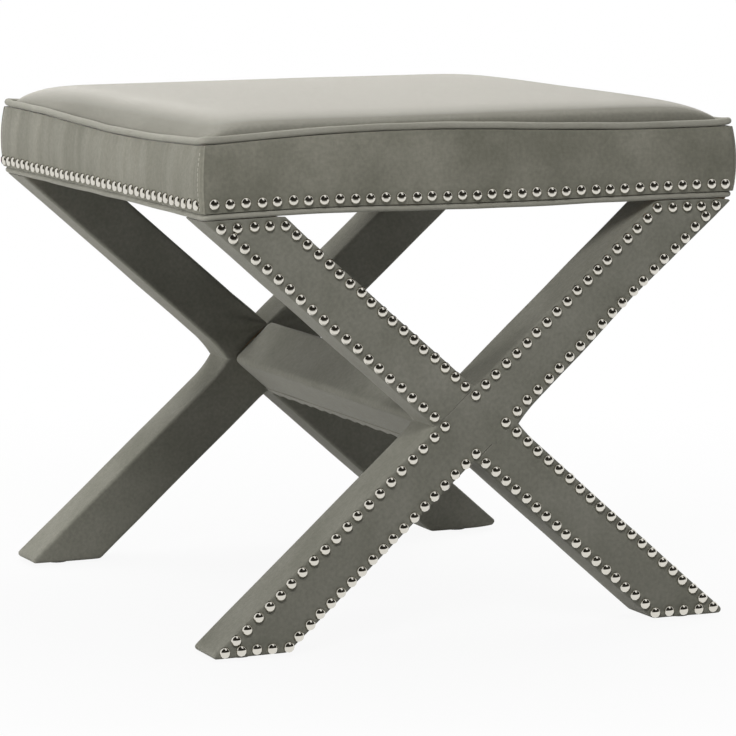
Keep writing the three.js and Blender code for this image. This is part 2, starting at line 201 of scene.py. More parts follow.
def hollow(obj, cutters):
    for cutter in cutters:
        applyModifier(obj, "BOOLEAN", operation="DIFFERENCE", solver="MANIFOLD", object=cutter)
        bpy.data.objects.remove(cutter)


def reshape(obj, change):
    # change gives a vertex its new place from its old place and its normal
    moved = [change(v.co.copy(), v.normal.copy()) for v in obj.data.vertices]
    for vertex, place in zip(obj.data.vertices, moved):
        vertex.co = place
    obj.data.update()


def smooth(obj, degrees=50):
    alone(obj)
    bpy.ops.object.shade_smooth_by_angle(angle=math.radians(degrees))


def layCloth(obj, chart):
    # chart gives a place on the flat cloth, in metres, from a place on the piece and the face's normal
    for old in list(obj.data.uv_layers):
        obj.data.uv_layers.remove(old)
    layer = obj.data.uv_layers.new(name="cloth")
    vertices, loops = obj.data.vertices, obj.data.loops
    for face in obj.data.polygons:
        for i in face.loop_indices:
            layer.data[i].uv = chart(vertices[loops[i].vertex_index].co, face.normal)


def finishPiece(obj, material, replaced=()):
    obj.data.materials.clear()
    obj.data.materials.append(material)
    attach(obj, "root")
    if replaced:
        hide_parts(*replaced)


def finishCloth(obj, chart, cloth, replaced=(), degrees=50):
    layCloth(obj, chart)
    smooth(obj, degrees)
    finishPiece(obj, fabrics[cloth], replaced)


def joinCopies(name, model, spots):
    # Copies of a small part, each with its own mesh, at (place, turn) pairs, joined to one piece
    copies = []
    for place, turn in spots:
        one = model.copy()
        one.data = model.data.copy()
        scene.collection.objects.link(one)
        one.location = place
        one.rotation_euler = turn
        copies.append(one)
    deselect()
    for one in copies:
        one.select_set(True)
    bpy.context.view_layer.objects.active = copies[0]
    bpy.ops.object.join()
    joined = bpy.context.object
    joined.name = name
    settle(joined)
    return joined


# Shader nodes
def feed(tree, made, inputs):
    # Numbers and colours are set on a node's inputs, and sockets are linked to them
    for key, value in inputs.items():
        if isinstance(value, (int, float, tuple)):
            made.inputs[key].default_value = value
        else:
            tree.links.new(value, made.inputs[key])


def node(tree, kind, inputs=None, **values):
    made = tree.nodes.new(kind)
    for key, value in values.items():
        setattr(made, key, value)
    feed(tree, made, inputs or {})
    return made


def calc(tree, operation, *terms):
    return node(tree, "ShaderNodeMath", dict(enumerate(terms)), operation=operation).outputs[0]


def mapped(tree, value, fromLow, fromHigh, toLow=0, toHigh=1, kind="LINEAR"):
    ranges = {"Value": value, "From Min": fromLow, "From Max": fromHigh, "To Min": toLow, "To Max": toHigh}
    return node(tree, "ShaderNodeMapRange", ranges, interpolation_type=kind).outputs[0]


def mixColours(tree, share, a, b, blend="MIX"):
    return node(tree, "ShaderNodeMix", {0: share, 6: a, 7: b}, data_type="RGBA", blend_type=blend).outputs[2]


def mixShaders(tree, share, a, b, out):
    mixed = node(tree, "ShaderNodeMixShader", {0: share, 1: a.outputs[0], 2: b.outputs[0]})
    tree.links.new(mixed.outputs[0], out.inputs["Surface"])


def newMaterial(name):
    material = bpy.data.materials.new(name)
    material.use_nodes = True
    tree = material.node_tree
    place = node(tree, "ShaderNodeTexCoord").outputs["Object"]
    return material, tree, tree.nodes["Principled BSDF"], place


# Camera, at the photograph's place
view = {
    "place": Vector((-1.47400, -3.42619, 0.73348)),
    "target": Vector((-0.20297, -0.49917, 0.29056)),
    "roll": -0.21,
    "focalPixels": 3879.67,
    "framePixels": 736,
    "sensor": 36,
    "sees": 50,
}


def setCamera():
    data = bpy.data.cameras.new("camera")
    camera = bpy.data.objects.new("camera", data)
    scene.collection.objects.link(camera)
    back = (view["place"] - view["target"]).normalized()
    right = axisZ.cross(back).normalized()
    up = back.cross(right)
    turn = math.radians(view["roll"])
    across = right * math.cos(turn) + up * math.sin(turn)
    upright = up * math.cos(turn) - right * math.sin(turn)
    axes = Matrix((across, upright, back)).transposed()
    camera.matrix_world = Matrix.Translation(view["place"]) @ axes.to_4x4()
    data.sensor_width = view["sensor"]
    data.lens = view["focalPixels"] / view["framePixels"] * view["sensor"]
    data.clip_end = view["sees"]
    scene.camera = camera


setCamera()

# Light: a broad box above and behind, a low one on the left, a high one in front, and a weak fill from all round
studio = {
    "fill": 0.1,
    "lamps": {
        "overhead": {"place": (0.5, 1.1, 2.1), "size": (2.0, 1.4), "power": 54},
        "leftBox": {"place": (-2.8, 0.35, 0.6), "size": (1.4, 1.0), "power": 41},
        "frontBox": {"place": (-0.9, -2.0, 2.0), "size": (0.9, 0.8), "power": 41},
    },
    "aim": Vector((0, 0, 0.25)),
    "floor": 9.0,
    "floorLook": {"Base Color": (0.56, 0.56, 0.555, 1), "Roughness": 0.9, "Specular IOR Level": 0.1},
    "shadowShare": 0.07,
    "shadowReach": (0.35, 1.2),
}
# Painted reflection: dark cards that only the polished nails mirror, standing in for the unlit room and for the
# floor's shade further off;
# the camera doesn't see them and they neither light nor shade anything. A band stands up on either side of the set,
# widest at its feet and with a gap high up in front, and an apron on the floor begins a little way from the stool
band = {
    "radius": 4.4,
    "centre": -88,
    "nearWidth": 72,
    "farWidth": 38,
    "top": 86,
    "narrowing": 5,
    "steps": (120, 60),
    "gapCentre": -66,
    "gapWidth": 13,
    "gapFrom": 30,
    "colour": (0.07, 0.065, 0.055, 1),
    "apronWidth": 38,
    "apronHeight": 0.001,
    "apronCuts": 90,
    "apronFrom": 0.3,
    "apronTo": 1.3,
}


def addLamp(name, settings):
    data = bpy.data.lights.new(name, "AREA")
    data.shape = "RECTANGLE"
    data.size, data.size_y = settings["size"]
    data.energy = settings["power"]
    lamp = bpy.data.objects.new(name, data)
    scene.collection.objects.link(lamp)
    place = Vector(settings["place"])
    lamp.location = place
    lamp.rotation_euler = (studio["aim"] - place).to_track_quat("-Z", "Y").to_euler()
    lamp.visible_glossy = False


def seenWhite(tree):
    # 1 for camera, glossy and transmission rays, which see plain white
    rays = node(tree, "ShaderNodeLightPath").outputs
    total = rays["Is Camera Ray"]
    for name in ("Is Glossy Ray", "Is Transmission Ray"):
        total = calc(tree, "MAXIMUM", total, rays[name])
    return total


def setWorld():
    world = bpy.data.worlds.new("studio")
    scene.world = world
    world.use_nodes = True
    tree = world.node_tree
    tree.nodes.clear()
    lit = node(tree, "ShaderNodeBackground", {"Color": (1, 1, 1, 1), "Strength": studio["fill"]})
    white = node(tree, "ShaderNodeBackground", {"Color": (1, 1, 1, 1)})
    mixShaders(tree, seenWhite(tree), lit, white, node(tree, "ShaderNodeOutputWorld"))


def addFloor():
    floor = addShape("floor", bpy.ops.mesh.primitive_plane_add, size=studio["floor"])
    material, tree, shader, place = newMaterial("floor")
    feed(tree, shader, studio["floorLook"])
    # White for the camera, with a little of the shadow kept close to the feet
    far = node(tree, "ShaderNodeVectorMath", {0: place}, operation="LENGTH").outputs["Value"]
    share = mapped(tree, far, *studio["shadowReach"], 1 - studio["shadowShare"])
    white = calc(tree, "MULTIPLY", seenWhite(tree), share)
    mixShaders(tree, white, shader, node(tree, "ShaderNodeEmission"), tree.nodes["Material Output"])
    floor.data.materials.append(material)


def fromBand(middle):
    # How many degrees aside of the nearer card's middle line a place is, and how far the card reaches at its feet
    turn = (math.degrees(math.atan2(middle.y, middle.x)) - band["centre"] + 180) % 360 - 180
    if abs(turn) < 90:
        return abs(turn), band["nearWidth"]
    return 180 - abs(turn), band["farWidth"]


def addCard(card, outside, material):
    edit(card)
    deleteFaces(card, outside)
    done()
    card.data.materials.append(material)
    card.visible_camera = card.visible_diffuse = card.visible_shadow = False


def addBand():
    def offBand(face):
        middle = face.calc_center_median()
        aside, width = fromBand(middle)
        height = math.degrees(math.asin(middle.z / band["radius"]))
        turn = math.degrees(math.atan2(middle.y, middle.x)) - band["gapCentre"]
        inGap = abs(turn) * math.cos(math.radians(height)) < band["gapWidth"] and height > band["gapFrom"]
        reach = width * (1 - (height / band["top"]) ** band["narrowing"])
        return inGap or not 0 < height < band["top"] or aside > reach

    def offApron(face):
        middle = face.calc_center_median()
        return middle.length > band["radius"] or fromBand(middle)[0] > band["apronWidth"]

    across, up = band["steps"]
    arch = addShape(
        "dark_band", bpy.ops.mesh.primitive_uv_sphere_add, segments=across, ring_count=up, radius=band["radius"])
    dark, tree, shader = newMaterial("darkCard")[:3]
    feed(tree, shader, {"Base Color": band["colour"], "Roughness": 1})
    addCard(arch, offBand, dark)

    cuts = band["apronCuts"]
    apron = addShape(
        "dark_apron", bpy.ops.mesh.primitive_grid_add, x_subdivisions=cuts, y_subdivisions=cuts,
        size=2 * band["radius"], location=(0, 0, band["apronHeight"]))
    # Painted shade in the nails' reflection: clear by the stool, and dark from a little way off
    faded, tree, shader, place = newMaterial("fadedCard")
    feed(tree, shader, {"Base Color": band["colour"]})
    off = calc(tree, "ABSOLUTE", node(tree, "ShaderNodeSeparateXYZ", {0: place}).outputs["Y"])
    share = mapped(tree, off, halfDepth + band["apronFrom"], halfDepth + band["apronTo"], kind="SMOOTHSTEP")
    mixShaders(tree, share, node(tree, "ShaderNodeBsdfTransparent"), shader, tree.nodes["Material Output"])
    addCard(apron, offApron, faded)


scene.view_settings.view_transform = "Standard"
setWorld()
addFloor()
addBand()
for lampName, lampSettings in studio["lamps"].items():
    addLamp(lampName, lampSettings)
print("camera and light set")


# Shader groups
def newGroup(name, inputs, outputs):
    # Inputs come with their default values, a tuple for a vector. Outputs are numbers.
    group = bpy.data.node_groups.new(name, "ShaderNodeTree")
    for label, value in inputs.items():
        kind = "NodeSocketVector" if isinstance(value, tuple) else "NodeSocketFloat"
        group.interface.new_socket(label, in_out="INPUT", socket_type=kind).default_value = value
    for label in outputs:
        group.interface.new_socket(label, in_out="OUTPUT", socket_type="NodeSocketFloat")
    return group, group.nodes.new("NodeGroupInput").outputs, group.nodes.new("NodeGroupOutput")


def noiseAt(tree, place, scale, detail, distortion=0.0):
    inputs = {"Vector": place, "Scale": scale, "Detail": detail, "Distortion": distortion}
    return node(tree, "ShaderNodeTexNoise", inputs).outputs["Fac"]


def stretched(tree, place, scale):
    return node(tree, "ShaderNodeMapping", {"Vector": place, "Scale": scale}).outputs[0]


groupLook = {
    "slubs": (90, 1900),
    "slubDetail": 2,
    "threadDepth": 0.35,
    "patchDetail": 3,
    "streak": {"stretch": (1, 1, 0.16), "scale": 38, "detail": 4, "bend": 0.6},
    "sharp": (0.51, 0.56),
    "rubNoise": {"scale": 60, "detail": 3, "range": (0.35, 0.65), "least": 0.4},
    "grainDetail": 4,
}


def makeWeaveGroup():
    # Plain weave on the flat cloth: threads that go over and under, and slubs along them. Both about 0 to 1.
    group, entry, leave = newGroup("plainWeave", {"Cloth": (0, 0, 0), "Thread": 0.00045}, ("Height", "Slub"))
    cloth = entry["Cloth"]
    apart = node(group, "ShaderNodeSeparateXYZ", {0: cloth}).outputs
    turns = calc(group, "DIVIDE", math.pi, entry["Thread"])
    weftWave, warpWave = (calc(group, "SINE", calc(group, "MULTIPLY", apart[axis], turns)) for axis in "XY")
    over = calc(group, "MULTIPLY", calc(group, "MULTIPLY", weftWave, warpWave), groupLook["threadDepth"])
    run, width = groupLook["slubs"]
    weft, warp = (
        noiseAt(group, stretched(group, cloth, scale), 1, groupLook["slubDetail"])
        for scale in ((run, width, 1), (width, run, 1)))
    slub = calc(group, "MULTIPLY", calc(group, "ADD", weft, warp), 0.5)
    feed(group, leave, {"Height": calc(group, "ADD", over, slub), "Slub": slub})
    return group


def makeNapGroup():
    # How the brushed nap lies: broad soft patches, and bent streaks that run up and down. Around 0.5.
    group, entry, leave = newGroup("brushedNap", {"Place": (0, 0, 0), "Patch": 6.0, "Streak": 0.5}, ("Lie",))
    patches = noiseAt(group, entry["Place"], entry["Patch"], groupLook["patchDetail"])
    streak = groupLook["streak"]
    place = stretched(group, entry["Place"], streak["stretch"])
    streaks = noiseAt(group, place, streak["scale"], streak["detail"], streak["bend"])
    mixed = node(group, "ShaderNodeMix", {0: entry["Streak"], 2: patches, 3: streaks}, data_type="FLOAT")
    feed(group, leave, {"Lie": mixed.outputs[0]})
    return group


def makeRubGroup():
    # Where an edge is rubbed: 1 on sharp outward edges, broken up by noise
    group, entry, leave = newGroup("edgeRub", {"Place": (0, 0, 0), "Amount": 0.5}, ("Mask",))
    edge = mapped(group, node(group, "ShaderNodeNewGeometry").outputs["Pointiness"], *groupLook["sharp"])
    look = groupLook["rubNoise"]
    broken = mapped(
        group, noiseAt(group, entry["Place"], look["scale"], look["detail"]), *look["range"], look["least"])
    mask = calc(group, "MULTIPLY", calc(group, "MULTIPLY", edge, broken), entry["Amount"])
    feed(group, leave, {"Mask": mask})
    return group


def makeGrainGroup():
    # Fine irregular grain, around 0.5
    group, entry, leave = newGroup("fineGrain", {"Place": (0, 0, 0), "Scale": 500.0, "Distortion": 0.0}, ("Grain",))
    grain = noiseAt(group, entry["Place"], entry["Scale"], groupLook["grainDetail"], entry["Distortion"])
    feed(group, leave, {"Grain": grain})
    return group


weaveGroup = makeWeaveGroup()
napGroup = makeNapGroup()
rubGroup = makeRubGroup()
grainGroup = makeGrainGroup()


def useGroup(tree, group, inputs):
    return node(tree, "ShaderNodeGroup", inputs, node_tree=group).outputs


def addBump(tree, height, strength, distance, under=None):
    bump = node(tree, "ShaderNodeBump", {"Height": height, "Strength": strength, "Distance": distance})
    if under is not None:
        tree.links.new(under, bump.inputs["Normal"])
    return bump.outputs["Normal"]


# What all cloths share, and what each one has of its own. The graze range and pale colour of each cloth give its
# painted sheen: the colour turns pale where the cloth is seen at a grazing angle.
clothLook = {
    "sideways": (0.3, 0.9),
    "lie": (0.3, 0.7),
    "slub": (0.25, 0.75),
    "grainRange": (0.3, 0.7),
    "roughSpread": 0.08,
    "waveDepth": 0.004,
    "weaveBump": (0.4, 0.0003),
    "tint": (0.97, 0.95, 0.9, 1),
    "gloss": 0.25,
}
usualFabric = {
    "paintedSheenFacing": (0.75, 1.0), "streak": (0.0, 0.0), "mottle": 0.06, "rough": 0.82, "sheen": 0.3, "sheenRough": 0.35,
    "thread": 0.00045, "rub": 0.3,
}
fabricLooks = {
    "topFabric": {
        "dark": (0.188, 0.183, 0.15, 1), "light": (0.26, 0.253, 0.215, 1), "worn": (0.33, 0.32, 0.275, 1),
        "paintedSheenColour": (0.49, 0.474, 0.426, 1), "paintedSheenFacing": (0.72, 0.9), "grain": (300, 0.08), "patch": 8.0,
        "streak": (0.12, 0.12), "rough": 0.78, "sheen": 0.6, "sheenRough": 0.3, "wave": 0.15,
    },
    "boxingFabric": {
        "dark": (0.175, 0.172, 0.137, 1), "light": (0.275, 0.267, 0.221, 1), "worn": (0.32, 0.312, 0.26, 1),
        "paintedSheenColour": (0.33, 0.32, 0.275, 1), "grain": (290, 0.1), "patch": 16.0, "streak": (0.1, 0.75), "wave": 0.3,
    },
    "legFabric": {
        "dark": (0.19, 0.188, 0.154, 1), "light": (0.256, 0.251, 0.213, 1), "worn": (0.31, 0.3, 0.26, 1),
        "paintedSheenColour": (0.31, 0.3, 0.26, 1), "grain": (280, 0.1), "patch": 15.0, "streak": (0.2, 0.3), "rough": 0.84,
        "sheen": 0.25, "wave": 0.22, "rub": 0.35,
    },
    # Painted highlight: the welts are covered in the seat's own cloth, coloured lighter here to stand in for the
    # light their round cords catch
    "weltFabric": {
        "dark": (0.262, 0.256, 0.213, 1), "light": (0.33, 0.322, 0.275, 1), "worn": (0.38, 0.37, 0.32, 1),
        "paintedSheenColour": (0.36, 0.35, 0.3, 1), "grain": (420, 0.06), "patch": 18.0, "streak": (0.2, 0.2), "sheen": 0.35,
        "wave": 0.1, "rub": 0.4,
    },
    "dustFabric": {
        "dark": (0.012, 0.012, 0.012, 1), "light": (0.02, 0.02, 0.02, 1), "worn": (0.03, 0.03, 0.03, 1),
        "paintedSheenColour": (0.03, 0.03, 0.03, 1), "grain": (600, 0.2), "patch": 30.0, "mottle": 0.25, "rough": 0.92,
        "sheen": 0.1, "sheenRough": 0.5, "wave": 0.2, "thread": 0.0008, "rub": 0.2,
    },
    "threadCotton": {
        "dark": (0.4, 0.385, 0.33, 1), "light": (0.5, 0.485, 0.43, 1), "worn": (0.5, 0.485, 0.43, 1),
        "paintedSheenColour": (0.5, 0.485, 0.43, 1), "grain": (900, 0.05), "patch": 60.0, "mottle": 0.1, "rough": 0.8,
        "sheenRough": 0.4, "wave": 0.0, "thread": 0.0002, "rub": 0.0,
    },
}


def makeFabric(name, settings):
    material, tree, shader, place = newMaterial(name)
    look = clothLook
    cloth = node(tree, "ShaderNodeUVMap", uv_map="cloth").outputs[0]
    # The streaks show on the faces that look left and right
    normal = node(tree, "ShaderNodeNewGeometry").outputs["Normal"]
    looks = node(tree, "ShaderNodeSeparateXYZ", {0: normal}).outputs["X"]
    streak = mapped(tree, calc(tree, "ABSOLUTE", looks), *look["sideways"], *settings["streak"])
    lie = useGroup(tree, napGroup, {"Place": place, "Streak": streak, "Patch": settings["patch"]})["Lie"]
    scale, spread = settings["grain"]
    grain = useGroup(tree, grainGroup, {"Place": place, "Scale": scale})["Grain"]
    weave = useGroup(tree, weaveGroup, {"Cloth": cloth, "Thread": settings["thread"]})
    rub = useGroup(tree, rubGroup, {"Place": place, "Amount": settings["rub"]})["Mask"]
    colour = mixColours(tree, mapped(tree, lie, *look["lie"]), settings["dark"], settings["light"])
    # Painted sheen: brushed cloth is lighter where it is seen along its surface, so the colour is mixed towards a
    # pale one at grazing angles
    facing = node(tree, "ShaderNodeLayerWeight").outputs["Facing"]
    colour = mixColours(tree, mapped(tree, facing, *settings["paintedSheenFacing"]), colour, settings["paintedSheenColour"])
    mottle = settings["mottle"]
    shade = calc(
        tree, "MULTIPLY", mapped(tree, weave["Slub"], *look["slub"], 1 - mottle, 1 + mottle),
        mapped(tree, grain, *look["grainRange"], 1 - spread, 1 + spread))
    shade = node(tree, "ShaderNodeCombineColor", {0: shade, 1: shade, 2: shade}).outputs[0]
    colour = mixColours(tree, 1.0, colour, shade, "MULTIPLY")
    rough = settings["rough"]
    broad = addBump(tree, lie, settings["wave"], look["waveDepth"])
    feed(tree, shader, {
        "Base Color": mixColours(tree, rub, colour, settings["worn"]),
        "Roughness": mapped(tree, lie, 0, 1, rough - look["roughSpread"], rough + look["roughSpread"]),
        "Sheen Weight": settings["sheen"],
        "Sheen Roughness": settings["sheenRough"],
        "Sheen Tint": look["tint"],
        "Specular IOR Level": look["gloss"],
        "Normal": addBump(tree, weave["Height"], *look["weaveBump"], broad),
    })
    return material


metalLooks = {
    "polishedNickel": {
        "bright": (0.74, 0.715, 0.645, 1), "dull": (0.64, 0.615, 0.55, 1), "rough": (0.042, 0.098), "scale": 500,
    },
    "zincSteel": {"bright": (0.62, 0.63, 0.64, 1), "dull": (0.5, 0.51, 0.53, 1), "rough": (0.21, 0.49), "scale": 900},
}
grainedLooks = {
    "softwood": {
        "dark": (0.46, 0.3, 0.14, 1), "light": (0.66, 0.46, 0.25, 1), "stretch": (1, 1, 6), "scale": 14,
        "distortion": 1.2, "rough": (0.6, 0.8), "bump": (0.2, 0.0004),
    },
    "plywood": {
        "dark": (0.42, 0.27, 0.12, 1), "light": (0.6, 0.41, 0.2, 1), "stretch": (6, 1, 6), "scale": 14,
        "distortion": 1.2, "rough": (0.6, 0.8), "bump": (0.2, 0.0004),
    },
    "blackPlastic": {
        "dark": (0.012, 0.012, 0.012, 1), "light": (0.026, 0.026, 0.026, 1), "stretch": (1, 1, 1), "scale": 1400,
        "distortion": 0.0, "rough": (0.47, 0.63), "bump": (0.3, 0.0002),
    },
    "creamFoam": {
        "dark": (0.72, 0.62, 0.42, 1), "light": (0.84, 0.76, 0.56, 1), "stretch": (1, 1, 1), "scale": 420,
        "distortion": 0.0, "rough": (0.84, 1.0), "bump": (0.3, 0.0012),
    },
}


def makeMetal(name, settings):
    material, tree, shader, place = newMaterial(name)
    spots = useGroup(tree, grainGroup, {"Place": place, "Scale": settings["scale"]})["Grain"]
    feed(tree, shader, {
        "Metallic": 1,
        "Base Color": mixColours(tree, spots, settings["dull"], settings["bright"]),
        "Roughness": mapped(tree, spots, 0, 1, *settings["rough"]),
    })
    return material


def makeGrained(name, settings):
    material, tree, shader, place = newMaterial(name)
    grain = useGroup(tree, grainGroup, {
        "Place": stretched(tree, place, settings["stretch"]),
        "Scale": settings["scale"],
        "Distortion": settings["distortion"],
    })["Grain"]
    feed(tree, shader, {
        "Base Color": mixColours(tree, grain, settings["dark"], settings["light"]),
        "Roughness": mapped(tree, grain, 0, 1, *settings["rough"]),
        "Normal": addBump(tree, grain, *settings["bump"]),
    })
    return material


fabrics = {name: makeFabric(name, {**usualFabric, **settings}) for name, settings in fabricLooks.items()}
metals = {name: makeMetal(name, settings) for name, settings in metalLooks.items()}
grained = {name: makeGrained(name, settings) for name, settings in grainedLooks.items()}
print("materials made")

# Leg covers: padded square bars, with soft arrises and a little give between the nails
legLook = {
    "blank": 0.45,
    "arris": 0.003,
    "arrisSteps": 3,
    "hem": 0.0006,
    "lengthCuts": 110,
    "sideCuts": 9,
    "wall": 0.0022,
    "waver": 0.0005,
    "waverScale": 16,
    "nailDip": 0.0009,
    "nailDipReach": 0.009,
    "nailDipDepth": 0.006,
    "tuck": 0.0003,
    "buttMargin": 0.001,
    "buttFade": 0.004,
    "edgeReach": 0.02,
    "footRadius": 0.0034,
    "leastRadius": 0.001,
    "topReach": 0.02,
    "topLift": 0.0004,
    "outerReach": 0.0045,
    "faceFrom": 0.7,
}
# Where the cloth bridges a notch of the crossing: how far it stands out of the corner, and how far along it goes
webs = {
    ("front", "right"): (0.004, 0.03), ("front", "left"): (0.0015, 0.014),
    ("front", "top"): (0.001, 0.012), ("front", "bottom"): (0.001, 0.012),
    ("back", "right"): (0.005, 0.05), ("back", "left"): (0.006, 0.034),
    ("back", "top"): (0.001, 0.012), ("back", "bottom"): (0.0015, 0.014),
}
webBehind = 0.004
# Swellings of single edges by (end, lean, side): distance from the crossing along the bar, and outward shift
swells = {
    ("front", 1, 1): (
        (0.02, 0.003), (0.05, 0.0032), (0.12, 0.0028), (0.18, 0.0004), (0.24, -0.0016), (0.3, -0.003)),
    ("back", -1, 1): ((-0.3, 0.0032), (-0.2, 0.0032), (-0.12, 0.001), (-0.06, 0.0)),
}
# Pulled cloth in the upper notch of the back frame
creases = {"reach": 0.05, "fans": 11, "depth": 0.0019}
nailTrim = {
    "diameter": 0.0104,
    "height": 0.0032,
    "under": 0.3,
    "pitch": 0.014,
    "margins": {"front": 0.0054, "back": 0.0088},
    "endMargin": 0.0066,
    "endPitch": 0.0151,
    "seatPitch": 0.0148,
    "seatRise": 0.0072,
    "seatEnd": 0.0085,
    "jitter": 0.0005,
    "stand": 0.0008,
    "straighten": 0.5,
    "segments": 12,
    "rings": 8,
}


def along(a, b, pitch, skipFirst=False, skipLast=False):
    # Places from a to b, evenly at about the pitch
    count = max(1, round((b - a).length / pitch))
    steps = range(1 if skipFirst else 0, count if skipLast else count + 1)
    return [a.lerp(b, i / count) for i in steps]


def jitter(place):
    place.x += random.uniform(-1, 1) * nailTrim["jitter"]
    place.z += random.uniform(-1, 1) * nailTrim["jitter"]


def armNails(end):
    # Rows of nails on the outward face of one leg frame
    face = ends[end] * (frameMiddle + half)
    edge = (half - nailTrim["margins"][end]) * stretch
    pitch = nailTrim["pitch"]
    rows = []
    for up, height in ((1, "upper"), (-1, "lower")):
        endHeight = (legTop if up > 0 else legBottom) - up * nailTrim["endMargin"]
        rise = (endHeight - crossing) * up
        for side, word in ((-1, "left"), (1, "right")):
            notchSide = Vector((side * edge, face, crossing))
            notchMiddle = Vector((0, face, crossing + up * edge / lean))
            outer = Vector((side * (rise * lean + edge), face, endHeight))
            inner = Vector((side * (rise * lean - edge), face, endHeight))
            rows.append((f"{height}_{word}_outer", along(notchSide, outer, pitch, skipFirst=up < 0)))
            rows.append((f"{height}_{word}_inner", along(notchMiddle, inner, pitch, skipFirst=side < 0)))
            rows.append((f"{height}_{word}_end", along(outer, inner, nailTrim["endPitch"], True, True)))
    for name, places in rows:
        for place in places:
            jitter(place)
    return rows


random.seed(11)
legNails = {endName: armNails(endName) for endName in ends}


def barAxes(leanSign):
    # Along a bar, and across it in the plane of the frame
    run = Vector((leanSign * lean, 0, 1)).normalized()
    return run, Vector((run.z, 0, -run.x))


def barBlock(name, leanSign, middleY, halfSection, cuts):
    # A long square bar at its slant, its middle at the crossing, trimmed by the given planes
    reach = legLook["blank"]
    obj = addBlock(name, (-halfSection, -halfSection, -reach), (halfSection, halfSection, reach))
    settle(obj, rotation_euler=(0, math.atan(lean) * leanSign, 0), location=(0, middleY, crossing))
    edit(obj)
    for place, outward in cuts:
        cutAway(place, outward)
    done()
    return obj


def between(points, x):
    # Straight from point to point, level beyond the ends
    if x <= points[0][0]:
        return points[0][1]
    for (x0, y0), (x1, y1) in zip(points, points[1:]):
        if x <= x1:
            return y0 + (y1 - y0) * (x - x0) / (x1 - x0)
    return points[-1][1]


notches = {
    "left": axisX * -notchAside, "right": axisX * notchAside, "bottom": axisZ * -notchUp, "top": axisZ * notchUp,
}


def roundFoot(off, run, leanSign, inset):
    # Rounds the two ends of the foot, seen from the front, to circles
    low = legBottom - crossing
    radius = legLook["footRadius"]
    for sideSign in (-1, 1):
        corner = Vector((leanSign * low * lean + sideSign * notchAside, 0, low))
        level = axisX * -sideSign
        bisector = (level + run).normalized()
        slant = math.acos(level.dot(bisector))
        centre = corner + bisector * (radius / math.sin(slant))
        flat = Vector((off.x, 0, off.z))
        tangent = radius / math.tan(slant)
        if (flat - corner).dot(level) < tangent and (flat - corner).dot(run) < tangent:
            gap = flat - centre
            allowed = max(radius - inset, legLook["leastRadius"])
            if gap.length > allowed:
                flat = centre + gap.normalized() * allowed
                off.x, off.z = flat.x, flat.z


def edgeShift(end, leanSign, a, s):
    # How far a bar's edge stands out, at a distance from the crossing and on one side of the bar
    run, side = barAxes(leanSign)
    shift = 0
    for name, corner in notches.items():
        size, reach = webs[end, name]
        gap = (a - corner.dot(run)) * math.copysign(1, corner.dot(run))
        if corner.dot(side) * s > 0 and -webBehind < gap < reach:
            shift += size * (1 - max(0, gap) / reach) ** 2
    points = swells.get((end, leanSign, 1 if s > 0 else -1))
    if points and a * points[0][0] > 0:
        shift += between(points, a)
    return shift


def nailField(end):
    spots = [spot for row, places in legNails[end] for spot in places]
    field = kdtree.KDTree(len(spots))
    for i, spot in enumerate(spots):
        field.insert(Vector((spot.x, 0, spot.z)), i)
    field.balance()
    return field


def dressBar(obj, leanSign, end, openEnds):
    look = legLook
    outward = ends[end]
    middle = Vector((0, outward * frameMiddle, crossing))
    face = outward * (frameMiddle + half)
    run, side = barAxes(leanSign)
    otherSide = barAxes(-leanSign)[1]
    field = nailField(end)
    arris = look["arris"]
    edit(obj)
    pick(obj, "EDGE", lambda edge: isAlong(edge, run) or max(v.co.z for v in edge.verts) < legBottom + tiny)
    bpy.ops.mesh.bevel(offset=arris, segments=look["arrisSteps"], affect="EDGES")
    for place, away in openEnds:
        pick(obj, "EDGE", lambda edge: all(abs((v.co - place).dot(away)) < tiny for v in edge.verts))
        bpy.ops.mesh.bevel(offset=look["hem"], segments=1, affect="EDGES")
    long = arris * 4
    split(obj, look["lengthCuts"], run, long)
    split(obj, look["sideCuts"], run, long, across=True)
    done()
    soften(obj)

    def give(place, normal):
        off = place - middle
        a, s, o = off.dot(run), off.dot(side), off.y
        overS, overO = abs(s) - (half - arris), abs(o) - (half - arris)
        if leanSign > 0 and overS > 0 and overO > 0:
            # Squared up where the other bar's cloth butts against it
            inside = clamped((half + look["buttMargin"] - abs(off.dot(otherSide))) / look["buttFade"])
            more = (arris / max(overS, overO) - 1) * inside
            off += side * math.copysign(overS * more, s)
            off.y += math.copysign(overO * more, o)
        roundFoot(off, run, leanSign, arris - math.sqrt(max(0, arris * arris - max(0, overO) ** 2)))
        nearEdge = max(0, (abs(s) - half + look["edgeReach"]) / look["edgeReach"]) ** 2
        off += side * math.copysign(edgeShift(end, leanSign, a, s) * nearEdge, s)
        moved = middle + off
        # The outer wall's top follows the seat's wavy lower edge
        high = clamped((place.z - legTop) / look["topReach"] + 1)
        outer = clamped((o * outward - half) / look["outerReach"] + 1)
        rise = look["topLift"] + max(0, seamRise("bottom", place.x, outward * halfDepth))
        moved.z += rise * high * outer
        moved += normal * noise.noise(place * look["waverScale"]) * look["waver"]
        if (place.y - face) * outward > -look["nailDipDepth"]:
            gap = field.find(Vector((place.x, 0, place.z)))[2]
            moved.y -= outward * look["nailDip"] * max(0, 1 - gap / look["nailDipReach"]) ** 2
        fromNotch = Vector((off.x, 0, off.z)) - notches["top"]
        far = fromNotch.length / creases["reach"]
        if end == "back" and far < 1:
            fold = math.sin(math.atan2(fromNotch.z, fromNotch.x) * creases["fans"])
            moved += normal * fold * creases["depth"] * far ** 0.5 * (1 - far)
        return moved

    reshape(obj, give)


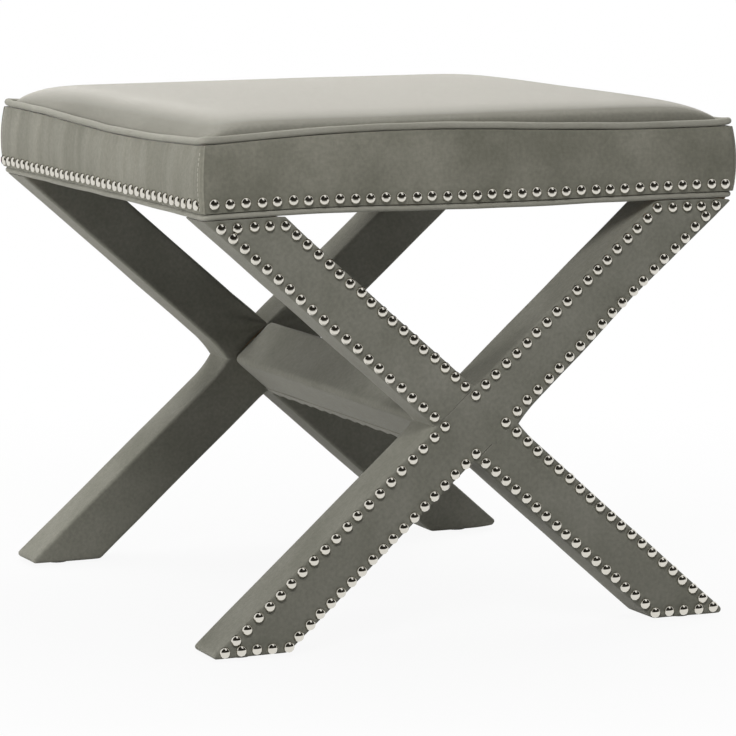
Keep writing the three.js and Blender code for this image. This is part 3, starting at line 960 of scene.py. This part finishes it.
def addLegCovers(end):
    middle = Vector((0, ends[end] * frameMiddle, crossing))
    floorCut, topCut = (axisZ * legBottom, -axisZ), (axisZ * legTop, axisZ)
    wall = legLook["wall"]
    roomFloor = (axisZ * (legBottom + wall), -axisZ)

    def addCover(word, leanSign, cuts, openEnds, rooms):
        run, side = barAxes(leanSign)
        piece = barBlock(f"leg_cover_{end}_{word}_fabric", leanSign, middle.y, half, cuts)
        dressBar(piece, leanSign, end, openEnds)
        hollow(piece, [barBlock("room", sign, middle.y, half - wall, [roomFloor]) for sign in rooms])

        def chart(place, normal):
            off = place - middle
            return off.dot(run), off.dot(side) if abs(normal.y) > legLook["faceFrom"] else off.y

        finishCloth(piece, chart, "legFabric", [f"leg_cover_{end}_{word}"])

    addCover("rising", 1, [floorCut, topCut], [topCut], (1, -1))
    side = barAxes(1)[1]
    for word, sign, endCut in (("upper", -1, topCut), ("lower", 1, floorCut)):
        seam = (axisZ * crossing + side * sign * (half - legLook["tuck"]), -side * sign)
        addCover(f"falling_{word}", -1, [endCut, seam], [seam, topCut], (-1,))


for endName in ends:
    addLegCovers(endName)
print("leg covers made")

# Stretcher cover: the crossing's section carried from frame to frame, its ends a little way into the legs' covers
stretcherLook = {
    "lengthCuts": 90,
    "faceCuts": 11,
    "faceEdge": 0.02,
    "waver": 0.0006,
    "waverScale": 14,
    "tuck": 0.0021,
    "ridge": (0.006, 4),
    "full": 0.0038,
    "frontTaper": 0.06,
    "backTaper": 0.012,
    "arris": (0.0025, 3),
    "wall": 0.0022,
    "roomPast": 0.01,
}
# The turned edge of its cloth underneath, pulled up into uneven scallops by its staples
foldLook = {
    "start": 0.004,
    "drop": 0.0062,
    "wave": 0.003,
    "pitch": 0.027,
    "uneven": (0.4, 25),
    "ragged": (0.0009, 230),
    "raggedSeed": 3,
    "curl": (0.0004, 0.0003),
    "thickness": 0.0008,
    "cuts": (4, 260),
}


def diamondBar(name, halfSection, low, high):
    obj = addShape(name, bpy.ops.mesh.primitive_cylinder_add, vertices=4, radius=1, depth=high - low)
    settle(obj, rotation_euler=(math.pi / 2, 0, 0))
    across = halfSection * stretch
    settle(obj, scale=(across, 1, across / lean), location=(0, 0, crossing))
    return obj


def addStretcher():
    look = stretcherLook
    low, high = stretcher[0].y - look["tuck"], stretcher[1].y + look["tuck"]
    obj = diamondBar("stretcher_fabric", half, low, high)
    edit(obj)
    for atSides, (offset, steps) in ((True, look["ridge"]), (False, look["arris"])):
        pick(obj, "EDGE", lambda edge: isAlong(edge, axisY) and (abs(edge.verts[0].co.x) > half / 2) == atSides)
        bpy.ops.mesh.bevel(offset=offset, segments=steps, affect="EDGES")
    split(obj, look["lengthCuts"], axisY)
    split(obj, look["faceCuts"], axisY, look["faceEdge"], across=True)
    done()
    soften(obj)

    def give(place, normal):
        # A little fuller on top, except near the ends
        fromEnd = min((place.y - low) / look["frontTaper"], (high - place.y) / look["backTaper"], 1)
        place.z += look["full"] * max(0, (place.z - crossing) / notchUp) * max(0, fromEnd)
        return place + normal * noise.noise(place * look["waverScale"]) * look["waver"]

    reshape(obj, give)
    hollow(obj, [diamondBar("room", half - look["wall"], low - look["roomPast"], high + look["roomPast"])])
    finishCloth(
        obj, lambda place, normal: (place.y, place.z * stretch), "legFabric",
        ["stretcher_cover"])


def addStretcherFold():
    look = foldLook
    low, high = stretcher[0].y, stretcher[1].y
    lowest = Vector((0, 0, crossing - notchUp))
    downward = Vector((1, 0, -1 / lean)).normalized()
    outward = Vector((downward.z, 0, -downward.x))
    uneven, unevenScale = look["uneven"]
    ragged, raggedScale = look["ragged"]
    curl, curlWave = look["curl"]
    downCuts, lengthCuts = look["cuts"]
    obj = addShape(
        "stretcher_fold", bpy.ops.mesh.primitive_grid_add, x_subdivisions=downCuts, y_subdivisions=lengthCuts,
        size=1)

    def give(place, normal):
        down = place.x + 0.5
        y = low + (high - low) * (place.y + 0.5)
        beat = y / look["pitch"] + uneven * noise.noise(Vector((y * unevenScale, 0, 0)))
        drop = look["drop"] + look["wave"] * abs(math.sin(math.pi * beat))
        drop += ragged * noise.noise(Vector((y * raggedScale, look["raggedSeed"], 0)))
        out = curl + curlWave * math.sin(2 * math.pi * beat) * down * down
        place = lowest + downward * (drop * down - look["start"]) + outward * out
        place.y = y
        return place

    reshape(obj, give)
    applyModifier(obj, "SOLIDIFY", thickness=look["thickness"], offset=0)
    finishCloth(obj, lambda place, normal: (place.y, place.z), "legFabric", degrees=60)


addStretcher()
addStretcherFold()
print("stretcher made")

# Boxing: four lengths that turn the corners and meet there in seams
boxingLook = {
    "thickness": 0.005,
    "corner": 0.005,
    "alongCuts": 150,
    "upCuts": 18,
    "faceEdge": 0.01,
    "belly": (0.0048, -0.0008, -0.0034),
    "seamGap": 0.00005,
    "seamEdge": (0.0003, 2),
    "seamTuck": 0.0005,
    "seamReach": 0.003,
    "seamFade": 1.5,
    "waver": 0.0006,
    "waverScale": (18, 9),
}
# Topstitching down the corner seams
stitchLook = {
    "length": 0.003, "pitch": 0.0044, "radius": 0.00045, "soft": 0.4, "inset": 0.0032, "start": 0.004, "spare": 0.006,
    "sway": 0.06,
}


def bellyAt(share):
    # How far the boxing stands out of the seat's outline, from share -1 at its bottom to 1 at its top
    level, tilt, curve = boxingLook["belly"]
    return level + tilt * share + curve * share * share


def addBoxing(name, alongHalf, outHalf, quarters):
    look = boxingLook
    low, high = boxing
    thickness, corner = look["thickness"], look["corner"]
    alongScale, upScale = look["waverScale"]
    obj = addBlock(f"boxing_{name}_fabric", (-alongHalf, -outHalf, low), (alongHalf, -outHalf + thickness, high))
    edit(obj)
    for sign in (-1, 1):
        # The ends are mitred, so that the neighbour's length fits against them
        place = Vector((sign * (alongHalf - look["seamGap"]), -outHalf, low))
        cutAway(place, Vector((sign, 1, 0)).normalized())
    bpy.ops.mesh.select_all(action="SELECT")
    offset, steps = look["seamEdge"]
    bpy.ops.mesh.bevel(offset=offset, segments=steps, affect="EDGES")
    split(obj, look["upCuts"], axisZ, look["faceEdge"])
    split(obj, look["alongCuts"], axisX, look["faceEdge"])
    done()
    soften(obj)
    turn = Matrix.Rotation(quarters * math.pi / 2, 3, "Z")

    def give(place, normal):
        depth = (place.y + outHalf) / thickness
        up = (place.z - low) / (high - low)
        past = abs(place.x) - (alongHalf - corner)
        outward = Vector((math.copysign(max(0, past), place.x), -corner, 0)).normalized()
        onSeat = turn @ place
        place.z += seamRise("top", onSeat.x, onSeat.y) * up ** look["seamFade"]
        place.z += seamRise("bottom", onSeat.x, onSeat.y) * (1 - up) ** look["seamFade"]
        if past > 0:
            out = past * diagonal
            drawn = corner - math.sqrt(corner * corner - out * out)
            place.x += math.copysign((out - past) * (1 - depth), place.x)
            place.y += drawn * (1 - depth)
        toSeam = max(0, 1 - (alongHalf - abs(place.x)) / look["seamReach"])
        push = bellyAt(2 * up - 1) - look["seamTuck"] * toSeam
        spot = Vector((place.x * alongScale, quarters * upScale, place.z * upScale))
        push += noise.noise(spot) * look["waver"]
        return place + outward * push * (1 - depth)

    reshape(obj, give)
    settle(obj, rotation_euler=(0, 0, quarters * math.pi / 2))
    alongX = quarters % 2 == 0
    finishCloth(
        obj, lambda place, normal: (place.x if alongX else place.y, place.z), "boxingFabric",
        [f"boxing_{name}"])
    return obj


boxings = {lengthName: addBoxing(lengthName, *sizes) for lengthName, sizes in seatSides.items()}


def addCornerStitches():
    look = stitchLook
    low, high = boxing
    model = addShape(
        "stitch", bpy.ops.mesh.primitive_cylinder_add, vertices=6, radius=look["radius"], depth=look["length"])
    edit(model)
    bpy.ops.mesh.bevel(offset=look["radius"] * look["soft"], segments=1, affect="EDGES")
    done()
    count = int((high - low - look["spare"]) / look["pitch"])
    for sideName, sign in (("left", -1), ("right", 1)):
        spots = []
        for end in (-1, 1):
            y = end * (halfDepth - look["inset"])
            for i in range(count):
                start = Vector((sign * (halfWidth + castFrom), y, low + look["start"] + look["pitch"] * i))
                hit, place, normal, index = boxings[sideName].ray_cast(start, axisX * -sign)
                if hit:
                    spots.append((place, (random.uniform(-1, 1) * look["sway"], 0, 0)))
        row = joinCopies(f"corner_stitches_{sideName}", model, spots)
        finishCloth(row, lambda place, normal: (place.z, place.y), "threadCotton")
    bpy.data.objects.remove(model)


addCornerStitches()
print("boxing made")

# Welts: covered cord round the seat, a little uneven. The top one stands out in ears at the corners.
weltLook = {
    "cuts": 70, "cornerRadius": 0.006, "cornerSteps": 5, "longEdge": 0.1, "waver": 0.0006, "waverScale": 22,
    "round": 4, "weld": 1e-5, "earFrom": 0.93, "earRise": 0.0014, "earOut": 0.001,
}


def addWelt(line, box, out):
    look = weltLook
    diameter = box[1].z - box[0].z
    middleZ = box[0].z + diameter / 2
    halfX = box[1].x + out - diameter / 2
    halfY = box[1].y + out - diameter / 2
    obj = addShape(f"{line}_welt_cord", bpy.ops.mesh.primitive_plane_add, size=2, location=(0, 0, middleZ))
    settle(obj, scale=(halfX, halfY, 1))
    edit(obj)
    bpy.ops.mesh.bevel(offset=look["cornerRadius"], segments=look["cornerSteps"], affect="VERTICES")
    bpy.ops.mesh.delete(type="ONLY_FACE")
    pick(obj, "EDGE", lambda edge: edge.calc_length() > look["longEdge"])
    bpy.ops.mesh.subdivide(number_cuts=look["cuts"])
    done()

    def earAt(x, y):
        ear = (min(abs(x) / halfX, abs(y) / halfY) - look["earFrom"]) / (1 - look["earFrom"])
        return clamped(ear) ** 2 if line == "top" else 0

    def lift(x, y):
        uneven = noise.noise(Vector((x, y, 0)) * look["waverScale"]) * look["waver"]
        return seamRise(line, x, y) + look["earRise"] * earAt(x, y) + uneven

    def give(place, normal):
        ear = earAt(place.x, place.y)
        place.z += lift(place.x, place.y)
        place.x += math.copysign(look["earOut"] * ear, place.x)
        place.y += math.copysign(look["earOut"] * ear, place.y)
        return place

    reshape(obj, give)
    alone(obj)
    bpy.ops.object.convert(target="CURVE")
    obj.data.bevel_depth = diameter / 2
    obj.data.bevel_resolution = look["round"]
    obj.data.use_fill_caps = False
    bpy.ops.object.convert(target="MESH")
    edit(obj)
    bpy.ops.mesh.remove_doubles(threshold=look["weld"])
    bpy.ops.mesh.normals_make_consistent(inside=False)
    done()

    def chart(place, normal):
        # The cord's cover is cut on the slant
        onSide = abs(place.x) / halfX > abs(place.y) / halfY
        outside = abs(place.x) - halfX if onSide else abs(place.y) - halfY
        arc = math.atan2(place.z - middleZ - lift(place.x, place.y), outside) * diameter / 2
        run = place.y if onSide else place.x
        return (run + arc) * diagonal, (run - arc) * diagonal

    finishCloth(obj, chart, "weltFabric", [f"{line}_welt"])


addWelt("top", topWelt, 0)
addWelt("bottom", bottomWelt, 0.0012)
print("welts made")

# Top panel over the foam: crowned and tightly stuffed
topLook = {
    "cuts": 90,
    "upCuts": 3,
    "wall": 0.0022,
    "foamGap": 0.0003,
    "cornerRadius": 0.009,
    "rimAboveWelt": 0.0024,
    "crownX": (16, 0.9),
    "crownY": (5.6, 0.22),
    "waver": 0.0006,
    "waverScale": 7,
    "waverSeed": 3,
    "waverFrom": 0.9,
    "flatFrom": 0.4,
    "undersideFrom": 0.5,
}


def addPad(name, box, drop):
    # A block whose top follows the crown, lowered by drop
    look = topLook
    low = box[0]
    halfX, halfY = box[1].x, box[1].y
    rim = topWelt[0].z + look["rimAboveWelt"] - drop
    top = panel[1].z - drop
    radius = look["cornerRadius"]
    obj = addBlock(name, (-halfX, -halfY, low.z), (halfX, halfY, top))
    edit(obj)
    for direction, cuts in ((axisX, look["cuts"]), (axisY, look["cuts"]), (axisZ, look["upCuts"])):
        split(obj, cuts, direction)
    done()

    def fullness(share, power):
        return max(0, 1 - abs(share) ** power[0]) ** power[1]

    def give(place, normal):
        u = math.sin(place.x / halfX * math.pi / 2)
        v = math.sin(place.y / halfY * math.pi / 2)
        up = (place.z - low.z) / (top - low.z)
        full = fullness(u, look["crownX"]) * fullness(v, look["crownY"])
        place.x, place.y = u * halfX, v * halfY
        edge = rim + seamRise("top", place.x, place.y) * (1 - full)
        crown = edge + (top - edge) * full
        place.z = low.z + up * (crown - low.z)
        overX, overY = abs(place.x) - (halfX - radius), abs(place.y) - (halfY - radius)
        if overX > 0 and overY > 0:
            # Rounded in plan, by drawing each square ring in the corner to a round one
            k = max(overX, overY) / math.hypot(overX, overY)
            place.x -= math.copysign(overX * (1 - k), place.x)
            place.y -= math.copysign(overY * (1 - k), place.y)
        if up > look["waverFrom"]:
            spot = Vector((place.x * look["waverScale"], place.y * look["waverScale"], look["waverSeed"]))
            place.z += noise.noise(spot) * look["waver"] * full
        return place

    reshape(obj, give)
    return obj


def padChart(place, normal):
    if abs(normal.z) > topLook["flatFrom"]:
        return place.x, place.y
    return (place.x if abs(normal.y) > abs(normal.x) else place.y), place.z


def addTop():
    obj = addPad("top_panel_fabric", panel, 0)
    edit(obj)
    deleteFaces(obj, lambda face: face.normal.z < -topLook["undersideFrom"])
    done()
    soften(obj)
    applyModifier(obj, "SOLIDIFY", thickness=topLook["wall"], offset=-1)
    finishCloth(obj, padChart, "topFabric", ["top_panel"], degrees=70)
    inner = addPad("seat_foam_block", foam, topLook["wall"] + topLook["foamGap"])
    smooth(inner, 70)
    finishPiece(inner, grained["creamFoam"], ["seat_foam"])


addTop()
print("top made")

# Dust cover: thin black cloth stapled under the seat and cut out round the legs' tops
dustLook = {
    "thickness": 0.0006, "notchMargin": 0.002, "cuts": 5,
    "sag": 0.0012, "sagEven": 0.5, "sagReach": 0.06, "sagScale": 9,
    "staple": (0.0105, 0.0011, 0.0005), "stapleSoft": 0.7, "stapleGap": 0.042, "stapleInset": 0.007,
    "stapleTurn": 0.25,
}


def addDustCover():
    look = dustLook
    level = dust[1].z
    halfX, halfY = dust[1].x, dust[1].y
    notchX = (legTop - crossing) * lean - notchAside - look["notchMargin"]
    notchY = frameMiddle - half - look["notchMargin"]
    obj = addShape("dust_cover_cloth", bpy.ops.mesh.primitive_plane_add, size=2, location=(0, 0, level))
    settle(obj, scale=(halfX, halfY, 1))
    edit(obj)
    for axis, reach in ((axisX, notchX), (axisX, -notchX), (axisY, notchY), (axisY, -notchY)):
        bpy.ops.mesh.select_all(action="SELECT")
        bpy.ops.mesh.bisect(plane_co=axis * reach, plane_no=axis)

    def inNotch(face):
        middle = face.calc_center_median()
        return abs(middle.x) > notchX and abs(middle.y) > notchY

    deleteFaces(obj, inNotch)
    bpy.ops.mesh.select_all(action="SELECT")
    for i in range(look["cuts"]):
        bpy.ops.mesh.subdivide(number_cuts=1)
    done()

    def give(place, normal):
        fromEdge = min(halfX - abs(place.x), halfY - abs(place.y)) / look["sagReach"]
        place.z -= look["sag"] * (look["sagEven"] + noise.noise(place * look["sagScale"])) * clamped(fromEdge)
        return place

    reshape(obj, give)
    applyModifier(obj, "SOLIDIFY", thickness=look["thickness"], offset=0)
    finishCloth(obj, lambda place, normal: (place.x, place.y), "dustFabric", ["dust_cover"])
    # Staples round its edge, between the notches
    length, width, height = look["staple"]
    model = addBlock("staple", (-length / 2, -width / 2, -height), (length / 2, width / 2, height))
    edit(model)
    bpy.ops.mesh.bevel(offset=height * look["stapleSoft"], segments=1, affect="EDGES")
    done()
    inset, below = look["stapleInset"], level - look["thickness"] / 2
    reachX, reachY = notchX - inset, notchY - inset
    spots = []
    for sign in (-1, 1):
        x, y = sign * (halfX - inset), sign * (halfY - inset)
        for start, end, turn in (((-reachX, y), (reachX, y), 0), ((x, -reachY), (x, reachY), math.pi / 2)):
            for place in along(Vector((*start, below)), Vector((*end, below)), look["stapleGap"]):
                spots.append((place, (0, 0, turn + random.uniform(-1, 1) * look["stapleTurn"])))
    row = joinCopies("dust_cover_staples", model, spots)
    bpy.data.objects.remove(model)
    smooth(row, 30)
    finishPiece(row, metals["zincSteel"])


addDustCover()
print("dust cover made")


# Nail heads: one dome, copied along each row
def makeDome():
    radius = nailTrim["diameter"] / 2
    dome = addShape(
        "nail_dome", bpy.ops.mesh.primitive_uv_sphere_add,
        segments=nailTrim["segments"], ring_count=nailTrim["rings"], radius=radius)
    edit(dome)
    cutAway(axisZ * -radius * nailTrim["under"], -axisZ)
    done()
    settle(dome, scale=(1, 1, nailTrim["height"] / radius))
    smooth(dome, 60)
    return dome


dome = makeDome()


def addNailRow(name, places, outwards):
    spots = []
    for place, outward in zip(places, outwards):
        spots.append((place + outward * nailTrim["stand"], outward.to_track_quat("Z", "Y").to_euler()))
    finishPiece(joinCopies(name, dome, spots), metals["polishedNickel"])


for endName, outwardSign in ends.items():
    for rowName, rowPlaces in legNails[endName]:
        addNailRow(f"nails_{endName}_{rowName}", rowPlaces, [axisY * outwardSign] * len(rowPlaces))


def seatRow(name, alongHalf, outHalf, quarters):
    # Nails above the bottom welt, each one set on the boxing where it stands
    last = alongHalf - nailTrim["seatEnd"]
    height = boxing[0] + nailTrim["seatRise"]
    start = -outHalf - castFrom
    turn = Matrix.Rotation(quarters * math.pi / 2, 3, "Z")
    inward = turn @ axisY
    found, outwards = [], []
    for place in along(Vector((-last, start, height)), Vector((last, start, height)), nailTrim["seatPitch"]):
        jitter(place)
        spot = turn @ place
        spot.z += seamRise("bottom", spot.x, spot.y)
        hit, surface, normal, index = boxings[name].ray_cast(spot, inward)
        found.append(surface if hit else spot + inward * castFrom)
        outwards.append((normal if hit else -inward).lerp(-inward, nailTrim["straighten"]).normalized())
    return found, outwards


for lengthName, sizes in seatSides.items():
    addNailRow(f"nails_seat_{lengthName}", *seatRow(lengthName, *sizes))
bpy.data.objects.remove(dome)
print("nails made")

# Finishes of the solids that stay as they are
finishes = (
    (grained["softwood"], ("leg_board", "seat_rail", "corner_block", "stretcher_dowel", "stretcher_core")),
    (grained["plywood"], ("seat_deck",)),
    (metals["zincSteel"], ("hanger", "stretcher_bolt", "stretcher_washer")),
    (grained["blackPlastic"], ("glide",)),
)
for finish, starts in finishes:
    for nodeName, obj in nodes.items():
        if nodeName.startswith(starts):
            obj.data.materials.clear()
            obj.data.materials.append(finish)
print("solids finished")
